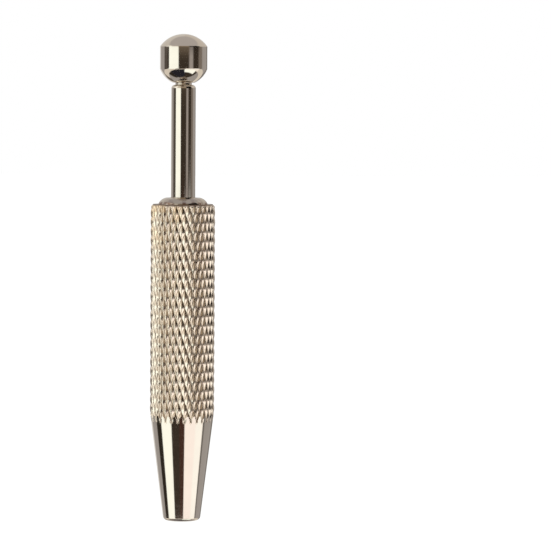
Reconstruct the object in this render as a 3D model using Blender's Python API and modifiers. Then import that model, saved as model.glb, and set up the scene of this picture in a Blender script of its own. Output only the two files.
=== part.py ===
"""Spring-loaded claw pick-up tool, nose down along Z, modelled in metres.

A knurled barrel with a tapered nose holds a sliding plunger. Pressing the ball knob squeezes the
return spring and carries four hooked wire claws out of the nose, where they open. Letting go draws
them back in, and the nose closes them on the work. The origin is the centre of the nose's end face.
"""

import math

import bmesh
import bpy

MM = 0.001

# Driving dimensions, in millimetres. Heights are above the nose's end face.
BARREL_TOP = 44.2
CREST_RADIUS = 4.5
KNURL_DEPTH = 0.22
KNURL_STARTS = 30  # grooves in each of the two crossing families
KNURL_ROW = 1.3  # height between two rows of groove crossings
KNURL_BOTTOM = 11.77  # below where the grooves run out on the nose
NOSE_RADIUS = 2.56  # of the cone, if it ran on to a sharp edge at height 0
NOSE_SLOPE = 0.126  # radius gained for each millimetre of height
NOSE_LIP = 0.55
NOSE_BORE = 1.7
BORE_STEP = 15.2  # where the nose bore opens into the main bore
MAIN_BORE = 3.3
PLUG_BORE = 3.5
PLUG_DEPTH = 4.0
PLUG_CROWN_RADIUS = 1.45
FIT_GAP = 0.05  # between two pieces that touch or slide

STROKE = 11.0
ROD_RADIUS = 1.7
ROD_SHOULDER = 60.75
ROD_SHOULDER_ROUND = 0.5
KNOB_STUD = 1.15
KNOB_STUD_LENGTH = 4.0  # inside the knob
CARRIER_STUD = 1.25
CARRIER_STUD_LENGTH = 4.0  # inside the carrier
COLLAR_RADIUS = 3.15
COLLAR_HEIGHT = 1.5
WASHER_RADIUS = 3.2
WASHER_HEIGHT = 0.5
STEM_RADIUS = 2.0  # inside the spring
TAIL_RADIUS = 1.5  # inside the nose bore
FERRULE_SEAT = 1.15
FERRULE_HEIGHT = 1.65

KNOB_BAND_RADIUS = 3.285
KNOB_BAND_HEIGHT = 3.12
KNOB_DOME_RADIUS = 3.96
KNOB_BASE_RADIUS = 3.53
KNOB_FLAT_RADIUS = 1.55  # underneath, round the stud
KNOB_BOTTOM = 61.05

CLAW_WIRE = 0.2  # radius of the wire
CLAW_CIRCLE = 0.62  # the closed claws' distance from the axis
CLAW_COUNT = 4
CLAW_PIVOT = 12.2
CLAW_REACH = 11.9  # from the pivot to the claw's lowest point
CLAW_TANG = 1.0  # above the pivot
CLAW_HOOK_BEND = 0.3
CLAW_HOOK_END = 0.27  # distance from the axis
BEND_STEPS = 5

SPRING_WIRE = 0.28  # radius of the wire
SPRING_MEAN_RADIUS = 2.55
SPRING_TURNS = 14
CLOSED_TURNS = 1  # at each end
CLOSED_PITCH = 0.59
POINTS_PER_TURN = 14

KNURL_COLUMNS = 2 * KNURL_STARTS
ROUND_SEGMENTS = 40
ARC_STEP = math.radians(12)
AXIS_MERGE = 0.000005  # metres
EDGE = 0.15  # a broken edge

# Heights that follow from the ones above.
PLUG_SEAT = BARREL_TOP - PLUG_DEPTH
COLLAR_TOP = PLUG_SEAT - FIT_GAP
COLLAR_BOTTOM = COLLAR_TOP - COLLAR_HEIGHT
CARRIER_TOP = COLLAR_BOTTOM - FIT_GAP
WASHER_BOTTOM = BORE_STEP + FIT_GAP
WASHER_TOP = WASHER_BOTTOM + WASHER_HEIGHT
STOP_SHOULDER = WASHER_TOP + STROKE + FIT_GAP  # lands on the washer when the stroke ends
TAIL_BOTTOM = CLAW_PIVOT - 0.2

NICKEL = (0.62, 0.56, 0.48)
KNURLED_NICKEL = (0.68, 0.63, 0.56)
BRASS = (0.70, 0.55, 0.28)
SPRING_STEEL = (0.42, 0.40, 0.38)


def clear_scene():
    for obj in list(bpy.data.objects):
        bpy.data.objects.remove(obj)


def new_collection(name):
    collection = bpy.data.collections.new(name)
    bpy.context.scene.collection.children.link(collection)
    return collection


def metal(name, colour, roughness):
    material = bpy.data.materials.new(name)
    material.use_nodes = True
    shader = material.node_tree.nodes["Principled BSDF"]
    shader.inputs["Base Color"].default_value = (*colour, 1.0)
    shader.inputs["Roughness"].default_value = roughness
    shader.inputs["Metallic"].default_value = 1.0
    return material


def new_object(name, data, collection, material=None):
    obj = bpy.data.objects.new(name, data)
    collection.objects.link(obj)
    if material:
        data.materials.append(material)
    return obj


def smooth(obj, corner=35):
    """Applies the modifiers and shades the mesh smooth, except at corners over so many degrees."""
    bpy.context.view_layer.update()
    graph = bpy.context.evaluated_depsgraph_get()
    mesh = bpy.data.meshes.new_from_object(obj.evaluated_get(graph))
    mesh.name = obj.name
    obj.modifiers.clear()
    obj.data = mesh
    mesh.shade_smooth()
    mesh.set_sharp_from_angle(angle=math.radians(corner))
    return obj


def arc(centre, radius, start, end):
    """Points (r, z) along a circle of a turned profile, from one angle to another, in degrees."""
    sweep = math.radians(end - start)
    count = max(2, math.ceil(abs(sweep) / ARC_STEP))
    points = []
    for step in range(count + 1):
        angle = math.radians(start) + sweep * step / count
        r = centre[0] + radius * math.cos(angle)
        z = centre[1] + radius * math.sin(angle)
        points.append((r, z))
    return points


def turned(name, profile, collection, material, closed=False, segments=ROUND_SEGMENTS):
    """A solid of revolution about Z. The profile is (r, z) in millimetres, down its outer side."""
    points = [(r * MM, 0.0, z * MM) for r, z in profile]
    edges = [(i, i + 1) for i in range(len(points) - 1)]
    if closed:
        edges.append((len(points) - 1, 0))
    mesh = bpy.data.meshes.new(name)
    mesh.from_pydata(points, edges, [])
    obj = new_object(name, mesh, collection, material)
    screw = obj.modifiers.new("Revolve", "SCREW")
    screw.axis = "Z"
    screw.steps = segments
    screw.render_steps = segments
    screw.use_merge_vertices = True
    screw.merge_threshold = AXIS_MERGE
    return obj


def ring(name, bore, radius, bottom, top, parts, material):
    """A flat ring with its outer corners broken."""
    profile = [
        (bore, top),
        (radius - EDGE, top),
        (radius, top - EDGE),
        (radius, bottom + EDGE),
        (radius - EDGE, bottom),
        (bore, bottom),
    ]
    return smooth(turned(name, profile, parts, material, closed=True))


def boolean(obj, cutter, operation):
    modifier = obj.modifiers.new(cutter.name, "BOOLEAN")
    modifier.operation = operation
    modifier.solver = "EXACT"
    modifier.object = cutter


def new_cutter(name, mesh, cutters):
    cutter = new_object(name, mesh, cutters)
    cutter.hide_render = True
    cutter.display_type = "WIRE"
    return cutter


def box_cutter(name, size, height, cutters):
    """A box centred on the axis, its middle at the given height."""
    shape = bmesh.new()
    bmesh.ops.create_cube(shape, size=MM)
    bmesh.ops.scale(shape, vec=size, verts=shape.verts)
    bmesh.ops.translate(shape, vec=(0.0, 0.0, height * MM), verts=shape.verts)
    mesh = bpy.data.meshes.new(name)
    shape.to_mesh(mesh)
    shape.free()
    return new_cutter(name, mesh, cutters)


def knurl_ring(shape, height, level):
    """Points round the knurl at one height, on the groove crossings and the pyramid tips by turns."""
    points = []
    for column in range(KNURL_COLUMNS):
        on_tip = (level + column) % 2 == 1
        radius = CREST_RADIUS if on_tip else CREST_RADIUS - KNURL_DEPTH
        angle = 2 * math.pi * column / KNURL_COLUMNS
        place = (radius * math.cos(angle) * MM, radius * math.sin(angle) * MM, height * MM)
        points.append(shape.verts.new(place))
    return points


def knurl_blank(cutters):
    """A bar covered in diamond pyramids between two crossing families of helical grooves.

    Crossings and tips alternate from ring to ring too, so each cell of the lattice is split along
    the stretch of groove that joins its two crossings.
    """
    rows = math.ceil((BARREL_TOP + 0.5 - KNURL_BOTTOM) / KNURL_ROW)
    shape = bmesh.new()
    rings = []
    for level in range(rows + 1):
        rings.append(knurl_ring(shape, KNURL_BOTTOM + level * KNURL_ROW, level))
    for level in range(rows):
        lower = rings[level]
        upper = rings[level + 1]
        for column in range(KNURL_COLUMNS):
            right = (column + 1) % KNURL_COLUMNS
            cell = [lower[column], lower[right], upper[right], upper[column]]
            if (level + column) % 2 == 1:
                cell = cell[1:] + cell[:1]
            shape.faces.new((cell[0], cell[1], cell[2]))
            shape.faces.new((cell[0], cell[2], cell[3]))
    shape.faces.new(reversed(rings[0]))
    shape.faces.new(rings[-1])
    mesh = bpy.data.meshes.new("knurl_blank")
    shape.to_mesh(mesh)
    shape.free()
    return new_cutter("knurl_blank", mesh, cutters)


def nose_blank(cutters):
    """The plain bar that carries the knurled one on down through the nose, wider than its cone."""
    shape = bmesh.new()
    radius = (CREST_RADIUS - KNURL_DEPTH / 2) * MM
    top = (KNURL_BOTTOM + 0.3) * MM
    bottom = -1.0 * MM
    bmesh.ops.create_cone(
        shape,
        cap_ends=True,
        segments=KNURL_COLUMNS,
        radius1=radius,
        radius2=radius,
        depth=top - bottom,
    )
    bmesh.ops.translate(shape, vec=(0.0, 0.0, (top + bottom) / 2), verts=shape.verts)
    mesh = bpy.data.meshes.new("nose_blank")
    shape.to_mesh(mesh)
    shape.free()
    return new_cutter("nose_blank", mesh, cutters)


def barrel(parts, cutters, material):
    """The one turned body: knurled grip, tapered nose, and the bore in three steps."""
    outside = CREST_RADIUS + FIT_GAP
    edge = 3 * EDGE
    cone_top = (outside - NOSE_RADIUS) / NOSE_SLOPE
    slope = math.atan(NOSE_SLOPE)
    lip_centre = (NOSE_RADIUS + NOSE_SLOPE * NOSE_LIP - NOSE_LIP / math.cos(slope), NOSE_LIP)
    profile = [
        (PLUG_BORE + EDGE, BARREL_TOP),
        (outside - edge, BARREL_TOP),
        (outside, BARREL_TOP - edge),
        (outside, cone_top),
        *arc(lip_centre, NOSE_LIP, -math.degrees(slope), -90),
        (NOSE_BORE + EDGE, 0.0),
        (NOSE_BORE, EDGE),
        (NOSE_BORE, BORE_STEP),
        (MAIN_BORE, BORE_STEP),
        (MAIN_BORE, PLUG_SEAT),
        (PLUG_BORE, PLUG_SEAT),
        (PLUG_BORE, BARREL_TOP - EDGE),
    ]
    obj = turned("knurled_barrel", profile, parts, material, True, KNURL_COLUMNS)
    blank = knurl_blank(cutters)
    boolean(blank, nose_blank(cutters), "UNION")
    boolean(obj, blank, "INTERSECT")
    return smooth(obj, corner=12)


def end_plug(parts, material):
    """The bush that closes the barrel's rear, guides the rod and stops the collar."""
    outer = PLUG_BORE - FIT_GAP
    hole = ROD_RADIUS + FIT_GAP
    bottom = PLUG_SEAT + FIT_GAP
    crown_centre = (outer - 1.35, BARREL_TOP - 0.55)
    crown = arc(crown_centre, PLUG_CROWN_RADIUS, 80, 21.4)
    top = crown[0][1]
    profile = [
        (hole + EDGE, top),
        *crown,
        (outer, bottom + EDGE),
        (outer - EDGE, bottom),
        (hole, bottom),
        (hole, top - EDGE),
    ]
    return smooth(turned("end_plug", profile, parts, material, closed=True))


def push_knob(parts, material):
    """A ball with a turned band round its middle, bored from below for the rod's stud."""
    band_drop = math.asin(KNOB_BAND_RADIUS / KNOB_BASE_RADIUS)
    flat_drop = math.asin(KNOB_FLAT_RADIUS / KNOB_BASE_RADIUS)
    base_centre = KNOB_BOTTOM + KNOB_BASE_RADIUS * math.cos(flat_drop)
    band_top = base_centre - KNOB_BASE_RADIUS * math.cos(band_drop) + KNOB_BAND_HEIGHT
    dome_end = math.acos(KNOB_BAND_RADIUS / KNOB_DOME_RADIUS)
    dome_centre = band_top - KNOB_DOME_RADIUS * math.sin(dome_end)
    base_start = math.degrees(band_drop) - 90
    base_end = math.degrees(flat_drop) - 90
    hole = KNOB_STUD + FIT_GAP
    hole_top = KNOB_BOTTOM + KNOB_STUD_LENGTH + 2 * FIT_GAP
    profile = [
        *arc((0.0, dome_centre), KNOB_DOME_RADIUS, 90, math.degrees(dome_end)),
        *arc((0.0, base_centre), KNOB_BASE_RADIUS, base_start, base_end),
        (hole, KNOB_BOTTOM),
        (hole, hole_top),
        (0.0, hole_top + 0.5),
    ]
    return smooth(turned("push_knob", profile, parts, material))


def plunger_rod(parts, material):
    """The rod, with a stud at the top for the knob and one below for the claw carrier."""
    seat = COLLAR_TOP + FIT_GAP
    stud_top = KNOB_BOTTOM + KNOB_STUD_LENGTH
    stud_bottom = CARRIER_TOP - CARRIER_STUD_LENGTH
    shoulder_centre = (ROD_RADIUS - ROD_SHOULDER_ROUND, ROD_SHOULDER - ROD_SHOULDER_ROUND)
    profile = [
        (0.0, stud_top),
        (KNOB_STUD - EDGE, stud_top),
        (KNOB_STUD, stud_top - EDGE),
        (KNOB_STUD, ROD_SHOULDER),
        *arc(shoulder_centre, ROD_SHOULDER_ROUND, 90, 0),
        (ROD_RADIUS, seat),
        (CARRIER_STUD, seat),
        (CARRIER_STUD, stud_bottom + EDGE),
        (CARRIER_STUD - EDGE, stud_bottom),
        (0.0, stud_bottom),
    ]
    return smooth(turned("plunger_rod", profile, parts, material))


def claw_carrier(parts, cutters, material):
    """The stem inside the spring, and the slotted tail that holds the claws' tangs."""
    hole = CARRIER_STUD + FIT_GAP
    hole_bottom = CARRIER_TOP - CARRIER_STUD_LENGTH - 2 * FIT_GAP
    seat_top = TAIL_BOTTOM + FERRULE_HEIGHT + 2 * FIT_GAP
    profile = [
        (0.0, hole_bottom - 0.5),
        (hole, hole_bottom),
        (hole, CARRIER_TOP),
        (STEM_RADIUS, CARRIER_TOP),
        (STEM_RADIUS, STOP_SHOULDER),
        (TAIL_RADIUS, STOP_SHOULDER),
        (TAIL_RADIUS, seat_top),
        (FERRULE_SEAT, seat_top),
        (FERRULE_SEAT, TAIL_BOTTOM),
        (0.0, TAIL_BOTTOM),
    ]
    obj = turned("claw_carrier", profile, parts, material)
    width = 2 * (CLAW_WIRE + FIT_GAP)
    length = 4 * TAIL_RADIUS
    slot_top = CLAW_PIVOT + CLAW_TANG + EDGE
    slot_bottom = TAIL_BOTTOM - 1.0
    depth = slot_top - slot_bottom
    middle = (slot_top + slot_bottom) / 2
    boolean(obj, box_cutter("slot_along", (length, width, depth), middle, cutters), "DIFFERENCE")
    boolean(obj, box_cutter("slot_across", (width, length, depth), middle, cutters), "DIFFERENCE")
    return smooth(obj)


def wire(name, points, radius, material):
    """A round wire along the points, which are in millimetres, as a curve with closed ends."""
    curve = bpy.data.curves.new(name, "CURVE")
    curve.dimensions = "3D"
    curve.bevel_depth = radius * MM
    curve.bevel_resolution = 2
    curve.use_fill_caps = True
    spline = curve.splines.new("POLY")
    spline.points.add(len(points) - 1)
    for spot, (x, y, z) in zip(spline.points, points):
        spot.co = (x * MM, y * MM, z * MM, 1.0)
    spline.use_smooth = True
    curve.materials.append(material)
    return curve


def claw_points():
    """A claw's centre line from its pivot: straight down, then bent in to a short hook."""
    lowest = CLAW_WIRE - CLAW_REACH
    points = [(0.0, 0.0, CLAW_TANG), (0.0, 0.0, 0.0)]
    for step in range(BEND_STEPS + 1):
        angle = math.pi / 2 * step / BEND_STEPS
        inward = CLAW_HOOK_BEND * (1 - math.cos(angle))
        drop = CLAW_HOOK_BEND * math.sin(angle)
        points.append((-inward, 0.0, lowest + CLAW_HOOK_BEND - drop))
    points.append((CLAW_HOOK_END - CLAW_CIRCLE, 0.0, lowest))
    return points


def claws(parts, plunger, material):
    """Four claws that share one shape, each under an empty on its own hinge."""
    shape = wire("claw", claw_points(), CLAW_WIRE, material)
    for number in range(CLAW_COUNT):
        turn = 2 * math.pi * number / CLAW_COUNT
        x = CLAW_CIRCLE * math.cos(turn) * MM
        y = CLAW_CIRCLE * math.sin(turn) * MM
        hinge = new_object(f"claw_{number + 1}_hinge", None, parts)
        hinge.parent = plunger
        hinge.location = (x, y, CLAW_PIVOT * MM)
        hinge.rotation_euler = (0.0, 0.0, turn)
        claw = new_object(f"claw_{number + 1}", shape, parts)
        claw.parent = hinge


def spring_points():
    """The coil's centre line, with the turns at both ends closed up against their neighbours."""
    bottom = WASHER_TOP + FIT_GAP + SPRING_WIRE
    top = COLLAR_BOTTOM - FIT_GAP - SPRING_WIRE
    open_turns = SPRING_TURNS - 2 * CLOSED_TURNS
    open_pitch = (top - bottom - 2 * CLOSED_TURNS * CLOSED_PITCH) / open_turns
    points = []
    for step in range(SPRING_TURNS * POINTS_PER_TURN + 1):
        turns = step / POINTS_PER_TURN
        opened = min(max(turns - CLOSED_TURNS, 0.0), open_turns)
        height = bottom + (turns - opened) * CLOSED_PITCH + opened * open_pitch
        angle = 2 * math.pi * turns
        x = SPRING_MEAN_RADIUS * math.cos(angle)
        y = SPRING_MEAN_RADIUS * math.sin(angle)
        points.append((x, y, height))
    return points


def return_spring(parts, material):
    curve = wire("return_spring", spring_points(), SPRING_WIRE, material)
    return new_object("return_spring", curve, parts)


def main():
    clear_scene()
    parts = new_collection("claw_pick_up_tool")
    cutters = new_collection("cutters")
    bright = metal("bright_nickel", NICKEL, 0.12)
    knurled = metal("knurled_nickel", KNURLED_NICKEL, 0.25)
    brass = metal("turned_brass", BRASS, 0.35)
    steel = metal("spring_steel", SPRING_STEEL, 0.3)

    barrel(parts, cutters, knurled)
    end_plug(parts, bright)
    washer_bore = TAIL_RADIUS + 2 * FIT_GAP
    ring("spring_washer", washer_bore, WASHER_RADIUS, WASHER_BOTTOM, WASHER_TOP, parts, steel)
    return_spring(parts, steel)

    plunger = new_object("plunger_slide", None, parts)
    collar_bore = CARRIER_STUD + FIT_GAP
    ferrule_bore = FERRULE_SEAT + FIT_GAP
    ferrule_top = TAIL_BOTTOM + FERRULE_HEIGHT
    moving = [
        push_knob(parts, bright),
        plunger_rod(parts, bright),
        ring("stop_collar", collar_bore, COLLAR_RADIUS, COLLAR_BOTTOM, COLLAR_TOP, parts, brass),
        claw_carrier(parts, cutters, brass),
        ring("claw_ferrule", ferrule_bore, TAIL_RADIUS, TAIL_BOTTOM, ferrule_top, parts, steel),
    ]
    for piece in moving:
        piece.parent = plunger
    claws(parts, plunger, steel)


main()
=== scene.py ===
"""Looks of the claw pick-up tool: bright nickel plate, a fine diamond knurl and a small photo studio.

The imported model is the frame. The pieces that show are made again here with finer surfaces, in the
same places and sizes, and they ride on the frame's bodies. Lengths are millimetres until a mesh is made.
"""

import math

import bpy
from mathutils import Matrix, Vector


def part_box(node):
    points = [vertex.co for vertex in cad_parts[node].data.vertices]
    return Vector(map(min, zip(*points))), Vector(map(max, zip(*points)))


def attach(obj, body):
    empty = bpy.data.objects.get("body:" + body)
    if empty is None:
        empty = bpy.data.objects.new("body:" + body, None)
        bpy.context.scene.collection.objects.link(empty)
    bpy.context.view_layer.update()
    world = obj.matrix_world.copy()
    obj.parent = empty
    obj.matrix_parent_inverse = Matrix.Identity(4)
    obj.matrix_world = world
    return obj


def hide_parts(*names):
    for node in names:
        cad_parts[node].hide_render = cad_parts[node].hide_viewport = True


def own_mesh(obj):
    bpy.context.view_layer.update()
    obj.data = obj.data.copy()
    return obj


MM = 0.001

# Sizes of the surface that the frame's boxes don't give.
KNURL_DEPTH = 0.22
KNURL_STARTS = 30  # grooves in each of the two crossing families
KNURL_PITCH = 2.6  # height of one diamond
KNURL_FOOT = 11.77  # a height where two grooves cross at angle 0
KNURL_STEPS = 12  # mesh cells across and along one diamond
KNURL_RIM_BEVEL = 0.4  # taken off the crests at the barrel's rear rim
KNURL_RUN_OUT = (12.9, 15.7)  # heights between which the grooves fade into the cone
CREST_BREADTH = 0.42  # below 1, the diamonds are broad and the grooves narrow
NOSE_RADIUS = 2.56  # of the cone, if it ran on to a sharp edge at height 0
NOSE_SLOPE = 0.126  # radius gained for each millimetre of height
NOSE_LIP = 0.55  # radius of the curve at the nose's end
NOSE_RINGS = (12.0, 9.0, 6.0, 3.0, 1.0)  # heights of the cone's rings of points
NOSE_BORE = 1.7
BORE_STEP = 15.2  # where the nose bore opens into the main bore
MAIN_BORE = 3.3
PLUG_BORE = 3.5
PLUG_DEPTH = 4.0
PLUG_CROWN_RADIUS = 1.45
PLUG_CROWN_INSET = 1.35  # the centre of the crown's curve, in from the plug's side
PLUG_CROWN_SUNK = 0.55  # and down from the barrel's rim
PLUG_CROWN_SWEEP = (80, 21.4)  # degrees, from the flat top round to the side
ROD_SHOULDER = 60.75
ROD_SHOULDER_ROUND = 0.5
CARRIER_STUD = 1.25
COLLAR_SEAT = 40.2
KNOB_STUD = 1.15
KNOB_STUD_LENGTH = 4.0
KNOB_DRILL_POINT = 0.5  # the cone at the end of the knob's blind hole
KNOB_DOME_RADIUS = 3.96
KNOB_BASE_RADIUS = 3.53
KNOB_FLAT_RADIUS = 1.55  # underneath, round the stud
CLAW_WIRE = 0.2  # radius
CLAW_CIRCLE = 0.62  # the closed claws' distance from the axis
CLAW_COUNT = 4
CLAW_PIVOT = 12.2
CLAW_REACH = 11.9  # from the pivot to the claw's lowest point
CLAW_TANG = 1.0  # above the pivot
CLAW_HOOK_BEND = 0.3
CLAW_HOOK_END = 0.27  # distance from the axis
SPRING_WIRE = 0.28  # radius
SPRING_MEAN_RADIUS = 2.55
SPRING_TURNS = 14
CLOSED_PITCH = 0.59  # of the one closed turn at each end
FIT_GAP = 0.05  # between two pieces that touch or slide
EDGE = 0.15  # a broken edge
SOFT_EDGE = 0.06  # how far a polished corner is rounded over
SLIGHT_TURN = math.radians(15)  # a corner that turns less isn't rounded
ROUND_STEPS = 256
ARC_STEP = math.radians(3)
WIRE_SIDES = 16
CLAW_BEND_STEPS = 10
SPRING_STEPS = 40  # along each turn
ON_CONE = 0.0005  # a point this close to the cone counts as on it

# Corners over so many degrees stay sharp.
TURNED_CORNER = 30
KNURL_CORNER = 13
WIRE_CORNER = 40

# The camera is far off with a long lens, and a little above.
SENSOR = 36.0
LENS = 200.0
FRAME_WIDTH = 76.8  # across the picture, at the tool
CAMERA_ELEVATION = 3.0
CAMERA_ROLL = 0.36
AIM = (12.94, 34.3)  # right of the tool's axis, and above its nose

# Colours of the metals and of what is on them, as shares of the light that they reflect.
PLATE = (0.72, 0.66, 0.58)
PLATE_SPECK = (0.42, 0.33, 0.25)
PLUG_TARNISH = (0.46, 0.41, 0.38)
# painted shade in the seam at the plug's foot
PLUG_SEAM_SHADE = (0.2, 0.12, 0.09)
KNURL_PLATE = (0.89, 0.785, 0.66)
KNURL_STAIN = (0.93, 0.75, 0.54)
# painted shade down in the knurl's grooves
KNURL_GROOVE_SHADE = (0.2, 0.14, 0.1)
BRASS = (0.74, 0.56, 0.27)
STEEL = (0.46, 0.44, 0.42)

WHITE = (1.0, 1.0, 1.0)
ROOM_LIGHT = 1.12  # the white room, as matt surfaces see it
FLOOR_DROP = 12.0  # the floor is this far below the nose, so that the pushed-out claws clear it
FLOOR_REACH = 3000.0
FLOOR_COLOUR = (0.94, 0.94, 0.94, 1.0)

# The lamp, in metres and watts.
LAMP_SIZE = 0.35
LAMP_POWER = 0.03
LAMP_PLACE = (-0.25, -0.3, 0.45)


def linear(red, green, blue):
    """A linear colour from 0 to 255 values."""
    return tuple(((value / 255 + 0.055) / 1.055) ** 2.4 for value in (red, green, blue))


def box_mm(node):
    """A CAD node's lowest and highest corners, in millimetres."""
    low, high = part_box(node)
    return low / MM, high / MM


# ---------------------------------------------------------------- nodes


class Nodes:
    """Short ways to add linked nodes to one shader tree."""

    def __init__(self, tree):
        self.tree = tree
        tree.nodes.clear()

    def add(self, kind, **settings):
        node = self.tree.nodes.new(kind)
        for name, value in settings.items():
            setattr(node, name, value)
        return node

    def put(self, socket, value):
        if isinstance(value, bpy.types.NodeSocket):
            self.tree.links.new(value, socket)
        elif isinstance(value, tuple) and len(value) == 3 and socket.type == "RGBA":
            socket.default_value = (*value, 1.0)
        else:
            socket.default_value = value

    def math(self, operation, first, second=0.0):
        node = self.add("ShaderNodeMath", operation=operation)
        self.put(node.inputs[0], first)
        self.put(node.inputs[1], second)
        return node.outputs[0]

    def ramp(self, value, start, end, low=0.0, high=1.0):
        """Goes smoothly from low to high as the value goes from start to end."""
        node = self.add("ShaderNodeMapRange", interpolation_type="SMOOTHSTEP")
        for index, number in enumerate((value, start, end, low, high)):
            self.put(node.inputs[index], number)
        return node.outputs[0]

    def window(self, value, low, high, soft):
        """1 between low and high, 0 outside, with soft edges."""
        rise = self.ramp(value, low - soft / 2, low + soft / 2)
        fall = self.ramp(value, high - soft / 2, high + soft / 2, 1.0, 0.0)
        return self.math("MULTIPLY", rise, fall)

    def mix(self, share, first, second):
        node = self.add("ShaderNodeMix", data_type="RGBA")
        self.put(node.inputs[0], share)
        self.put(node.inputs[6], first)
        self.put(node.inputs[7], second)
        return node.outputs[2]

    def noise(self, place, scale, detail=2.0):
        node = self.add("ShaderNodeTexNoise")
        self.put(node.inputs["Vector"], place)
        self.put(node.inputs["Scale"], scale)
        self.put(node.inputs["Detail"], detail)
        return node.outputs["Fac"]

    def split(self, vector):
        node = self.add("ShaderNodeSeparateXYZ")
        self.put(node.inputs[0], vector)
        return node.outputs

    def join(self, x, y, z):
        node = self.add("ShaderNodeCombineXYZ")
        for index, value in enumerate((x, y, z)):
            self.put(node.inputs[index], value)
        return node.outputs[0]


class Metal(Nodes):
    """A metal's material, with its object-space places in millimetres ready to use."""

    def __init__(self, name, colour, roughness):
        self.material = bpy.data.materials.new(name)
        self.material.use_nodes = True
        super().__init__(self.material.node_tree)
        self.colour = colour
        self.shader = self.add("ShaderNodeBsdfPrincipled")
        self.shader.inputs["Metallic"].default_value = 1.0
        self.shader.inputs["Roughness"].default_value = roughness
        self.put(self.shader.inputs["Base Color"], colour)
        output = self.add("ShaderNodeOutputMaterial")
        self.put(output.inputs["Surface"], self.shader.outputs[0])
        metres = self.add("ShaderNodeTexCoord").outputs["Object"]
        scale = self.add("ShaderNodeVectorMath", operation="SCALE")
        self.put(scale.inputs[0], metres)
        scale.inputs["Scale"].default_value = 1 / MM
        self.place = scale.outputs[0]
        self.x, self.y, self.z = self.split(self.place)
        across = self.math("MULTIPLY", self.x, self.x)
        along = self.math("MULTIPLY", self.y, self.y)
        self.radius = self.math("SQRT", self.math("ADD", across, along))

    def tinted(self, share, colour):
        """The base colour so far, mixed with another by a share."""
        self.colour = self.mix(share, self.colour, colour)
        self.put(self.shader.inputs["Base Color"], self.colour)

    def rough(self, value):
        self.put(self.shader.inputs["Roughness"], value)

    def bumped(self, height, distance):
        """Raises the surface by a height of 0 to 1, over a distance in millimetres."""
        bump = self.add("ShaderNodeBump")
        self.put(bump.inputs["Height"], height)
        bump.inputs["Distance"].default_value = distance * MM
        self.put(self.shader.inputs["Normal"], bump.outputs[0])

    def turning(self, pitch):
        """Fine rings left by the lathe, from 0 to 1, with about one ring for each pitch."""
        wobble = self.join(self.math("MULTIPLY", self.radius, 1 / pitch), 0.0,
                           self.math("MULTIPLY", self.z, 1 / pitch))
        return self.noise(wobble, 1.0, 3.0)


def shade(colour, factor):
    """The colour made darker or lighter by a factor."""
    return tuple(channel * factor for channel in colour)


# ---------------------------------------------------------------- metals


def bright_nickel():
    """Polished plate: almost a mirror, with a trace of the lathe's rings and a little handling haze."""
    metal = Metal("bright_nickel", PLATE, 0.06)
    cloud = metal.noise(metal.place, 0.35)
    metal.tinted(metal.ramp(cloud, 0.35, 0.7, 0.0, 0.55), shade(PLATE, 0.94))
    speck = metal.noise(metal.place, 2.6, 4.0)
    metal.tinted(metal.ramp(speck, 0.66, 0.8, 0.0, 0.35), PLATE_SPECK)
    rings = metal.turning(0.09)
    haze = metal.math("MULTIPLY", metal.ramp(cloud, 0.4, 0.75), 0.05)
    metal.rough(metal.math("ADD", metal.ramp(rings, 0.3, 0.7, 0.04, 0.09), haze))
    metal.bumped(rings, 0.0012)
    return metal.material


def plug_nickel():
    """The plug's duller plate, with painted brown shade in patches round the seam at its foot."""
    metal = Metal("plug_nickel", shade(PLATE, 0.8), 0.12)
    seam = box_mm("knurled_barrel")[1].z
    patch = metal.noise(metal.place, 0.9, 3.0)
    metal.tinted(metal.ramp(patch, 0.4, 0.65), PLUG_TARNISH)
    foot = metal.ramp(metal.z, seam + 0.1, seam + 0.45, 1.0, 0.0)
    # Painted shade: the seam's foot darkened in patches.
    painted_shade = metal.math("MULTIPLY", foot, metal.ramp(patch, 0.42, 0.58))
    metal.tinted(painted_shade, PLUG_SEAM_SHADE)
    metal.rough(metal.ramp(patch, 0.35, 0.7, 0.08, 0.2))
    return metal.material


def nose_nickel():
    """The polished nose, with finer rings and scuffs close to its end."""
    metal = Metal("nose_nickel", PLATE, 0.08)
    cloud = metal.noise(metal.place, 0.4)
    metal.tinted(metal.ramp(cloud, 0.35, 0.7, 0.0, 0.5), shade(PLATE, 0.95))
    rings = metal.turning(0.07)
    near_end = metal.ramp(metal.z, 0.2, 3.5, 1.0, 0.0)
    scuff = metal.math("MULTIPLY", near_end, metal.noise(metal.place, 5.0))
    dull = metal.math("MULTIPLY", scuff, 0.1)
    metal.rough(metal.math("ADD", metal.ramp(rings, 0.3, 0.7, 0.05, 0.1), dull))
    metal.bumped(rings, 0.001)
    return metal.material


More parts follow.
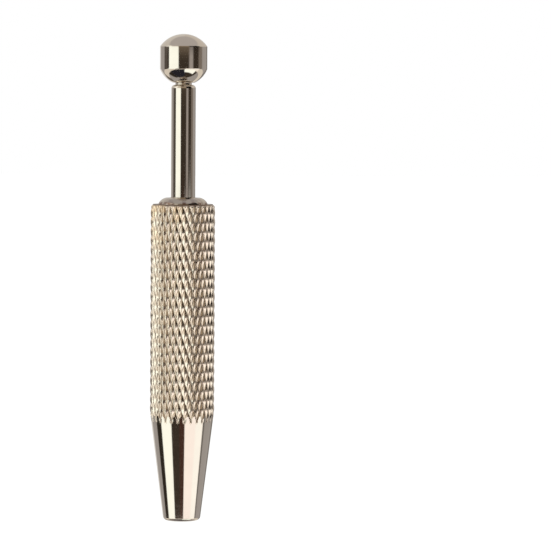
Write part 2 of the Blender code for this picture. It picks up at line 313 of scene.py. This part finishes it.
def knurled_nickel():
    """Plate over the knurl: a warm stain at the upper left, and painted brown shade down in the grooves.
    """
    metal = Metal("knurled_nickel", KNURL_PLATE, 0.2)
    crest = box_mm("knurled_barrel")[1].x
    patch = metal.noise(metal.place, 0.3)
    high = metal.ramp(metal.z, 36.0, 42.5)
    left = metal.ramp(metal.x, 0.8, -1.4)
    stain = metal.math("MULTIPLY", metal.math("MULTIPLY", high, left), metal.ramp(patch, 0.4, 0.55))
    metal.tinted(stain, KNURL_STAIN)
    # Painted shade: darker the deeper the groove, unevenly, and only above the nose. It also roughens the
    # grooves.
    depth = metal.math("SUBTRACT", crest, metal.radius)
    uneven = metal.math("MULTIPLY", metal.noise(metal.place, 1.1), 0.16)
    painted_shade = metal.ramp(metal.math("ADD", depth, uneven), 0.2, 0.4)
    above_nose = metal.ramp(metal.z, 12.8, 14.5)
    metal.tinted(metal.math("MULTIPLY", painted_shade, above_nose), KNURL_GROOVE_SHADE)
    grain = metal.noise(metal.place, 14.0, 3.0)
    dull = metal.math("MULTIPLY", painted_shade, 0.2)
    metal.rough(metal.math("ADD", metal.ramp(grain, 0.3, 0.7, 0.16, 0.24), dull))
    metal.bumped(grain, 0.004)
    return metal.material


def turned_brass():
    """Brass as it comes off the lathe, a little stained."""
    metal = Metal("turned_brass", BRASS, 0.3)
    stain = metal.noise(metal.place, 0.8)
    metal.tinted(metal.ramp(stain, 0.4, 0.7, 0.0, 0.6), shade(BRASS, 0.72))
    rings = metal.turning(0.12)
    metal.rough(metal.ramp(rings, 0.3, 0.7, 0.2, 0.38))
    metal.bumped(rings, 0.004)
    return metal.material


def spring_steel():
    """Drawn wire, with faint die marks and a light oil film."""
    metal = Metal("spring_steel", STEEL, 0.28)
    cloud = metal.noise(metal.place, 1.5, 3.0)
    metal.tinted(metal.ramp(cloud, 0.4, 0.7, 0.0, 0.6), shade(STEEL, 0.7))
    grain = metal.noise(metal.place, 18.0, 2.0)
    metal.rough(metal.ramp(grain, 0.3, 0.7, 0.18, 0.32))
    metal.bumped(grain, 0.002)
    return metal.material


# ---------------------------------------------------------------- meshes


def new_piece(name, points, faces, materials, corner, choices=None):
    """An object from points in millimetres, shaded smooth except at corners over so many degrees."""
    mesh = bpy.data.meshes.new(name)
    mesh.from_pydata([(x * MM, y * MM, z * MM) for x, y, z in points], [], faces)
    for material in materials:
        mesh.materials.append(material)
    if choices:
        mesh.polygons.foreach_set("material_index", choices)
    mesh.shade_smooth()
    mesh.set_sharp_from_angle(angle=math.radians(corner))
    obj = bpy.data.objects.new(name, mesh)
    bpy.context.scene.collection.objects.link(obj)
    return obj


def arc(centre, radius, start, end):
    """Points (r, z) along a circle of a turned profile, from one angle to another, in degrees."""
    sweep = math.radians(end - start)
    count = max(3, math.ceil(abs(sweep) / ARC_STEP))
    points = []
    for step in range(count + 1):
        angle = math.radians(start) + sweep * step / count
        r = centre[0] + radius * math.cos(angle)
        z = centre[1] + radius * math.sin(angle)
        points.append((r, z))
    return points


def rounded(profile):
    """The profile with a short curve in place of each corner. Its two ends stay as they are."""
    points = [profile[0]]
    for before, spot, after in zip(profile, profile[1:], profile[2:]):
        here = Vector(spot)
        back = Vector(before) - here
        ahead = Vector(after) - here
        turn = math.pi - back.angle(ahead)
        if turn < SLIGHT_TURN:
            points.append(spot)
            continue
        reach = min(SOFT_EDGE, back.length * 0.45, ahead.length * 0.45)
        start = here + back.normalized() * reach
        end = here + ahead.normalized() * reach
        for share in (0.0, 0.25, 0.5, 0.75, 1.0):
            curve = start * (1 - share) ** 2 + here * 2 * share * (1 - share) + end * share**2
            points.append(tuple(curve))
    points.append(profile[-1])
    return points


def circle(radius, height, steps):
    """A level ring of points about Z."""
    points = []
    for step in range(steps):
        angle = 2 * math.pi * step / steps
        points.append((radius * math.cos(angle), radius * math.sin(angle), height))
    return points


def ring_faces(upper, lower, steps):
    """Faces between two rings of points, given by each ring's first point."""
    faces = []
    for step in range(steps):
        ahead = (step + 1) % steps
        faces.append((upper + step, lower + step, lower + ahead, upper + ahead))
    return faces


def turned(name, profile, material, closed=False):
    """A solid turned about Z. The profile is (r, z), down its outer side, and may end on the axis."""
    points = []
    faces = []
    starts = []
    for r, z in profile:
        starts.append(len(points))
        if r:
            points += circle(r, z, ROUND_STEPS)
        else:
            points.append((0.0, 0.0, z))
    pairs = list(zip(range(len(profile)), range(1, len(profile))))
    if closed:
        pairs.append((len(profile) - 1, 0))
    for first, second in pairs:
        if not profile[first][0]:
            tip = starts[first]
            lower = starts[second]
            for step in range(ROUND_STEPS):
                faces.append((tip, lower + step, lower + (step + 1) % ROUND_STEPS))
        elif not profile[second][0]:
            tip = starts[second]
            upper = starts[first]
            for step in range(ROUND_STEPS):
                faces.append((tip, upper + (step + 1) % ROUND_STEPS, upper + step))
        else:
            faces += ring_faces(starts[first], starts[second], ROUND_STEPS)
    return new_piece(name, points, faces, [material], TURNED_CORNER)


def groove(place):
    """0 in the groove, rising smoothly to 1 half way to the next one."""
    return math.sin(math.pi * place) ** 2


def knurl_radius(crest, around, height):
    """The knurl's surface, where around counts groove spacings from angle 0."""
    up = (height - KNURL_FOOT) / KNURL_PITCH
    rise = groove(around + up) * groove(around - up)
    return crest - KNURL_DEPTH * (1 - rise**CREST_BREADTH)


def cone_radius(height):
    """The nose's cone, carried on upwards under the knurl."""
    return NOSE_RADIUS + NOSE_SLOPE * height


def knurl_heights(top):
    """Heights of the knurl's rows of points, with the first row's number in the lattice.

    The last rows follow the bevel at the rim.
    """
    step = KNURL_PITCH / KNURL_STEPS
    first = math.ceil((KNURL_RUN_OUT[0] - KNURL_FOOT) / step)
    last = math.floor((top - 3.5 * EDGE - KNURL_FOOT) / step)
    heights = [KNURL_FOOT + row * step for row in range(first, last + 1)]
    return first, heights + [top - 3 * EDGE, top - 2 * EDGE, top - EDGE, top]


def run_out(heights, crest, around):
    """Moves the heights of one column so that they meet each place where knurl and cone cross."""
    moved = list(heights)
    gaps = [knurl_radius(crest, around, height) - cone_radius(height) for height in heights]
    for row in range(len(heights) - 1):
        low, high = gaps[row], gaps[row + 1]
        if heights[row] > KNURL_RUN_OUT[1] or low * high >= 0:
            continue
        share = low / (low - high)
        crossing = heights[row] + share * (heights[row + 1] - heights[row])
        moved[row if share < 0.5 else row + 1] = crossing
    return moved


def knurl_grid(crest, top, heights, columns):
    """The knurl's points, column by column, and for each one whether it is on the nose's cone."""
    grid = []
    on_cone = []
    for column in range(columns):
        around = column / KNURL_STEPS
        angle = 2 * math.pi * column / columns
        for height in run_out(heights, crest, around):
            bevel = crest - KNURL_RIM_BEVEL + top - height
            radius = min(knurl_radius(crest, around, height), bevel)
            on_cone.append(cone_radius(height) <= radius + ON_CONE)
            radius = min(radius, cone_radius(height))
            grid.append((radius * math.cos(angle), radius * math.sin(angle), height))
    return grid, on_cone


def knurl_faces(columns, rows, first_row):
    """Triangles over the grid, with each cell cut along the groove that crosses it."""
    faces = []
    for column in range(columns):
        ahead = (column + 1) % columns
        for row in range(rows - 1):
            near = column * rows + row
            far = ahead * rows + row
            falling = (column + first_row + row + 1) % KNURL_STEPS == 0
            if falling:
                faces += [(near, far, near + 1), (far, far + 1, near + 1)]
            else:
                faces += [(near, far, far + 1), (near, far + 1, near + 1)]
    return faces


def barrel_profile(top):
    """Points (r, z) down the nose's cone, round its lip and up the stepped bore to the rear rim."""
    slope = math.atan(NOSE_SLOPE)
    lip_centre = (cone_radius(NOSE_LIP) - NOSE_LIP / math.cos(slope), NOSE_LIP)
    seat = top - PLUG_DEPTH
    return [
        *[(cone_radius(height), height) for height in NOSE_RINGS],
        *arc(lip_centre, NOSE_LIP, -math.degrees(slope), -90),
        (NOSE_BORE + EDGE, 0.0),
        (NOSE_BORE, EDGE),
        (NOSE_BORE, BORE_STEP),
        (MAIN_BORE, BORE_STEP),
        (MAIN_BORE, seat),
        (PLUG_BORE, seat),
        (PLUG_BORE, top - EDGE),
        (PLUG_BORE + EDGE, top),
    ]


def barrel(nose, knurl):
    """The turned body: a fine knurl that runs out on the nose's cone, and the stepped bore inside."""
    crest, _, top = box_mm("knurled_barrel")[1]
    columns = KNURL_STARTS * KNURL_STEPS
    first_row, heights = knurl_heights(top)
    rows = len(heights)
    points, on_cone = knurl_grid(crest, top, heights, columns)
    faces = knurl_faces(columns, rows, first_row)
    choices = [0 if all(on_cone[index] for index in face) else 1 for face in faces]

    starts = []
    for radius, height in barrel_profile(top):
        starts.append(len(points))
        points += circle(radius, height, columns)
    for upper, lower in zip(starts, starts[1:]):
        faces += ring_faces(upper, lower, columns)
    for column in range(columns):
        ahead = (column + 1) % columns
        foot = (column * rows, starts[0] + column, starts[0] + ahead, ahead * rows)
        rim = (starts[-1] + column, column * rows + rows - 1, ahead * rows + rows - 1, starts[-1] + ahead)
        faces += [foot, rim]
    choices += [0] * (len(faces) - len(choices))
    return new_piece("barrel_fine", points, faces, [nose, knurl], KNURL_CORNER, choices)


def end_plug(material):
    """The domed bush that closes the barrel and guides the rod."""
    low, high = box_mm("end_plug")
    outer = high.x
    hole = box_mm("plunger_rod")[1].x + FIT_GAP
    rim = box_mm("knurled_barrel")[1].z
    crown_centre = (outer - PLUG_CROWN_INSET, rim - PLUG_CROWN_SUNK)
    crown = arc(crown_centre, PLUG_CROWN_RADIUS, *PLUG_CROWN_SWEEP)
    profile = [
        (hole, low.z),
        (hole, crown[0][1] - EDGE),
        (hole + EDGE, crown[0][1]),
        *crown,
        (outer, low.z + EDGE),
        (outer - EDGE, low.z),
        (hole, low.z),
    ]
    profile = rounded(profile)[:-1]
    return turned("end_plug_fine", profile, material, closed=True)


def push_knob(material):
    """The ball knob: a dome, a turned band with crisp edges, and a smaller ball below."""
    low, high = box_mm("push_knob")
    band = high.x
    band_drop = math.asin(band / KNOB_BASE_RADIUS)
    flat_drop = math.asin(KNOB_FLAT_RADIUS / KNOB_BASE_RADIUS)
    base_centre = low.z + KNOB_BASE_RADIUS * math.cos(flat_drop)
    dome_end = math.acos(band / KNOB_DOME_RADIUS)
    hole = KNOB_STUD + FIT_GAP
    hole_top = low.z + KNOB_STUD_LENGTH + 2 * FIT_GAP
    dome = arc((0.0, high.z - KNOB_DOME_RADIUS), KNOB_DOME_RADIUS, 90, math.degrees(dome_end))
    base_sweep = (math.degrees(band_drop) - 90, math.degrees(flat_drop) - 90)
    profile = [
        (0.0, high.z),
        *dome[1:],
        *arc((0.0, base_centre), KNOB_BASE_RADIUS, *base_sweep),
        (hole, low.z),
        (hole, hole_top),
        (0.0, hole_top + KNOB_DRILL_POINT),
    ]
    return turned("push_knob_fine", rounded(profile), material)


def plunger_rod(material):
    """The polished rod, with a stud at each end."""
    low, high = box_mm("plunger_rod")
    radius = high.x
    shoulder = (radius - ROD_SHOULDER_ROUND, ROD_SHOULDER - ROD_SHOULDER_ROUND)
    profile = [
        (0.0, high.z),
        (KNOB_STUD - EDGE, high.z),
        (KNOB_STUD, high.z - EDGE),
        (KNOB_STUD, ROD_SHOULDER),
        *arc(shoulder, ROD_SHOULDER_ROUND, 90, 0),
        (radius, COLLAR_SEAT),
        (CARRIER_STUD, COLLAR_SEAT),
        (CARRIER_STUD, low.z + EDGE),
        (CARRIER_STUD - EDGE, low.z),
        (0.0, low.z),
    ]
    return turned("plunger_rod_fine", rounded(profile), material)


def wire(name, path, radius, material):
    """A round wire along a path of points, with its cut ends tumbled a little round."""
    path = [Vector(spot) for spot in path]
    stations = []
    side = None
    for index, spot in enumerate(path):
        along = path[min(index + 1, len(path) - 1)] - path[max(index - 1, 0)]
        along.normalize()
        side = side or along.orthogonal()
        side = (side - along * side.dot(along)).normalized()
        stations.append((spot, side, along.cross(side), radius))
    ends = []
    for (spot, side, other, size), inward in (
        (stations[0], (path[1] - path[0]).normalized()),
        (stations[-1], (path[-2] - path[-1]).normalized()),
    ):
        worn = radius * 0.3
        ends.append([
            (spot, side, other, size - worn),
            (spot + inward * worn * 0.3, side, other, size - worn * 0.3),
            (spot + inward * worn, side, other, size),
        ])
    stations = ends[0] + stations[1:-1] + ends[1][::-1]
    points = []
    for spot, side, other, size in stations:
        for step in range(WIRE_SIDES):
            angle = 2 * math.pi * step / WIRE_SIDES
            points.append(spot + side * size * math.cos(angle) + other * size * math.sin(angle))
    faces = []
    for ring in range(len(stations) - 1):
        faces += ring_faces((ring + 1) * WIRE_SIDES, ring * WIRE_SIDES, WIRE_SIDES)
    last = (len(stations) - 1) * WIRE_SIDES
    faces.append(tuple(reversed(range(WIRE_SIDES))))
    faces.append(tuple(range(last, last + WIRE_SIDES)))
    return new_piece(name, points, faces, [material], WIRE_CORNER)


def claw(number, material):
    """One hooked claw, which rides on its own hinge."""
    lowest = CLAW_PIVOT + CLAW_WIRE - CLAW_REACH
    path = [(CLAW_CIRCLE, CLAW_PIVOT + CLAW_TANG), (CLAW_CIRCLE, CLAW_PIVOT)]
    for step in range(CLAW_BEND_STEPS + 1):
        angle = math.pi / 2 * step / CLAW_BEND_STEPS
        inward = CLAW_HOOK_BEND * (1 - math.cos(angle))
        drop = CLAW_HOOK_BEND * math.sin(angle)
        path.append((CLAW_CIRCLE - inward, lowest + CLAW_HOOK_BEND - drop))
    path.append((CLAW_HOOK_END, lowest))
    turn = 2 * math.pi * (number - 1) / CLAW_COUNT
    spots = [(r * math.cos(turn), r * math.sin(turn), z) for r, z in path]
    return wire(f"claw_{number}_fine", spots, CLAW_WIRE, material)


def return_spring(material):
    """The coil, with the turn at each end closed up against its neighbour."""
    low, high = box_mm("return_spring")
    bottom = low.z + SPRING_WIRE
    top = high.z - SPRING_WIRE
    open_turns = SPRING_TURNS - 2
    open_pitch = (top - bottom - 2 * CLOSED_PITCH) / open_turns
    path = []
    for step in range(SPRING_TURNS * SPRING_STEPS + 1):
        turns = step / SPRING_STEPS
        opened = min(max(turns - 1, 0.0), open_turns)
        height = bottom + (turns - opened) * CLOSED_PITCH + opened * open_pitch
        angle = 2 * math.pi * turns
        x = SPRING_MEAN_RADIUS * math.cos(angle)
        y = SPRING_MEAN_RADIUS * math.sin(angle)
        path.append((x, y, height))
    return wire("return_spring_fine", path, SPRING_WIRE, material)


# ---------------------------------------------------------------- studio


def seen(red, green, blue):
    """The light that looks like this colour, 0 to 255, where the plate reflects it."""
    return tuple(light / share for light, share in zip(linear(red, green, blue), PLATE))


def panels():
    """What the polished metal reflects, from back to front: softboxes, the gaps between them and the room.

    Each has its azimuths and elevations in degrees, the softness of its edges, and its light. Azimuth 0 is
    behind the camera and 90 is on its right.
    """
    cream = seen(255, 251, 232)
    pink = seen(254, 237, 222)
    beige = seen(208, 194, 174)
    grey = seen(152, 143, 134)
    return (
        ("room", (-200, 200), (-100, 100), 1, grey),
        ("front", (-96, 96), (-100, 60), 10, seen(54, 45, 36)),
        ("front_low", (-90, 16), (-100, -40), 10, seen(36, 34, 38)),
        ("front_red", (-8, 12), (-24, -8), 8, seen(66, 42, 33)),
        ("ceiling", (-200, 200), (50, 100), 14, seen(166, 155, 145)),
        ("left_edge", (-106, -84), (-8, 8), 5, seen(80, 71, 62)),
        ("left_edge_low", (-110, -84), (-70, -8), 5, seen(44, 38, 30)),
        ("rear_box", (-178, -146), (-45, 45), 8, seen(206, 197, 184)),
        ("rear_gap", (148, 166), (-45, 45), 8, seen(112, 103, 93)),
        ("low_ring", (-200, 200), (-42, -25), 2, beige),
        ("low_rear_gap", (-160, -138), (-44, -24), 8, seen(96, 86, 75)),
        ("left_box", (-74, -23), (-9, 8), 5, cream),
        ("left_box_low", (-84, -40), (-26, -8), 4, cream),
        ("right_box", (12, 88), (-26, -9), 4, pink),
        ("right_box_far", (56, 88), (-26, -9), 12, seen(255, 246, 230)),
        ("low_right", (44, 92), (-42, -24), 8, seen(238, 224, 205)),
        ("right_box_low", (8, 78), (-58, -40), 5, cream),
        ("right_strip", (29, 49), (-8, 8), 10, seen(150, 139, 129)),
        ("right_side", (80, 104), (-8, 8), 10, seen(116, 104, 92)),
        ("high_rear_left", (-200, -98), (8, 50), 10, seen(192, 181, 166)),
        ("high_left", (-98, -60), (8, 50), 10, seen(248, 238, 218)),
        ("high_left_inner", (-60, -24), (8, 50), 10, seen(200, 186, 165)),
        ("high_front", (-24, 32), (6, 50), 12, seen(140, 121, 98)),
        ("high_right", (30, 90), (6, 50), 8, seen(12, 9, 6)),
        ("high_rear_right", (90, 200), (8, 50), 10, seen(186, 173, 157)),
    )


def reflected_studio(nodes):
    """The colour of the studio in each direction."""
    direction = nodes.add("ShaderNodeTexCoord").outputs["Generated"]
    x, y, z = nodes.split(direction)
    turn = nodes.math("ARCTAN2", x, nodes.math("MULTIPLY", y, -1.0))
    azimuth = nodes.math("DEGREES", turn)
    elevation = nodes.math("DEGREES", nodes.math("ARCSINE", z))
    colour = WHITE
    for name, azimuths, elevations, soft, light in panels():
        across = nodes.window(azimuth, *azimuths, soft)
        up = nodes.window(elevation, *elevations, soft)
        colour = nodes.mix(nodes.math("MULTIPLY", across, up), colour, light)
        colour.node.label = name
    return colour


def studio_world():
    """Plain white to the camera and to matt surfaces, and softboxes to polished ones."""
    world = bpy.data.worlds.new("studio")
    world.use_nodes = True
    bpy.context.scene.world = world
    world.cycles.sampling_method = "NONE"
    nodes = Nodes(world.node_tree)
    rays = nodes.add("ShaderNodeLightPath")
    plain = shade(WHITE, ROOM_LIGHT)
    light = nodes.mix(rays.outputs["Is Glossy Ray"], plain, reflected_studio(nodes))
    light = nodes.mix(rays.outputs["Is Camera Ray"], light, WHITE)
    background = nodes.add("ShaderNodeBackground")
    nodes.put(background.inputs["Color"], light)
    output = nodes.add("ShaderNodeOutputWorld")
    nodes.put(output.inputs["Surface"], background.outputs[0])


def floor():
    """A pale sheet under the tool. Polished metal sees the studio in its place."""
    signs = ((-1, -1), (1, -1), (1, 1), (-1, 1))
    corners = [(x * FLOOR_REACH, y * FLOOR_REACH, -FLOOR_DROP) for x, y in signs]
    material = bpy.data.materials.new("pale_floor")
    material.use_nodes = True
    shader = material.node_tree.nodes["Principled BSDF"]
    shader.inputs["Base Color"].default_value = FLOOR_COLOUR
    shader.inputs["Roughness"].default_value = 0.9
    shader.inputs["Specular IOR Level"].default_value = 0.0
    sheet = new_piece("floor", corners, [(0, 1, 2, 3)], [material], TURNED_CORNER)
    sheet.visible_glossy = False


def softbox():
    """One large, weak and soft lamp over the camera's left shoulder."""
    lamp = bpy.data.lights.new("softbox", "AREA")
    lamp.shape = "SQUARE"
    lamp.size = LAMP_SIZE
    lamp.energy = LAMP_POWER
    obj = bpy.data.objects.new("softbox", lamp)
    bpy.context.scene.collection.objects.link(obj)
    obj.location = Vector(LAMP_PLACE)
    obj.rotation_euler = obj.location.to_track_quat("Z", "Y").to_euler()
    obj.visible_glossy = False


def camera():
    """A long lens that looks at AIM from the front and slightly above."""
    data = bpy.data.cameras.new("camera")
    data.sensor_width = SENSOR
    data.lens = LENS
    obj = bpy.data.objects.new("camera", data)
    bpy.context.scene.collection.objects.link(obj)
    elevation = math.radians(CAMERA_ELEVATION)
    back = Vector((0.0, -math.cos(elevation), math.sin(elevation)))
    target = Vector((AIM[0], 0.0, AIM[1])) * MM
    turn = back.to_track_quat("Z", "Y").to_matrix().to_4x4()
    roll = Matrix.Rotation(math.radians(CAMERA_ROLL), 4, "Z")
    place = Matrix.Translation(target + back * (FRAME_WIDTH * LENS / SENSOR) * MM)
    obj.matrix_world = place @ turn @ roll
    data.clip_start = 0.01
    data.clip_end = 20.0
    bpy.context.scene.camera = obj


# ---------------------------------------------------------------- the tool


def place(piece, body, node, slot):
    """A finer piece that stands for a CAD node and moves with its body."""
    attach(piece, body)
    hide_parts(node)


def paint(node, material):
    """Gives a CAD node that shows as it is a material of this scene."""
    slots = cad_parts[node].data.materials
    slots.clear()
    slots.append(material)


def tool():
    """All the pieces, each on its own body, and the spring, which has a mesh of its own."""
    bright = bright_nickel()
    brass = turned_brass()
    steel = spring_steel()
    place(barrel(nose_nickel(), knurled_nickel()), "barrel", "knurled_barrel", "knurled_nickel")
    place(end_plug(plug_nickel()), "barrel", "end_plug", "bright_nickel")
    place(push_knob(bright), "plunger", "push_knob", "bright_nickel")
    place(plunger_rod(bright), "plunger", "plunger_rod", "bright_nickel")
    for number in range(1, CLAW_COUNT + 1):
        name = f"claw_{number}"
        place(claw(number, steel), name, name, "spring_steel")
    spring = return_spring(steel)
    place(spring, "spring", "return_spring", "spring_steel")
    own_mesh(spring)
    for node in ("stop_collar", "claw_carrier"):
        paint(node, brass)
    for node in ("spring_washer", "claw_ferrule"):
        paint(node, steel)


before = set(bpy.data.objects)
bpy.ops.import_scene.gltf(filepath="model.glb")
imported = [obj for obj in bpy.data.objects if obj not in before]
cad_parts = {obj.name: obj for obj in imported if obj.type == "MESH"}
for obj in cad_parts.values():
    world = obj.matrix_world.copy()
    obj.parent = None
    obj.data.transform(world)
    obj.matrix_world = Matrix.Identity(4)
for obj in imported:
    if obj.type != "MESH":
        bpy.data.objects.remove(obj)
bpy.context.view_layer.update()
bpy.context.scene.view_settings.view_transform = "Standard"
studio_world()
floor()
softbox()
camera()
tool()
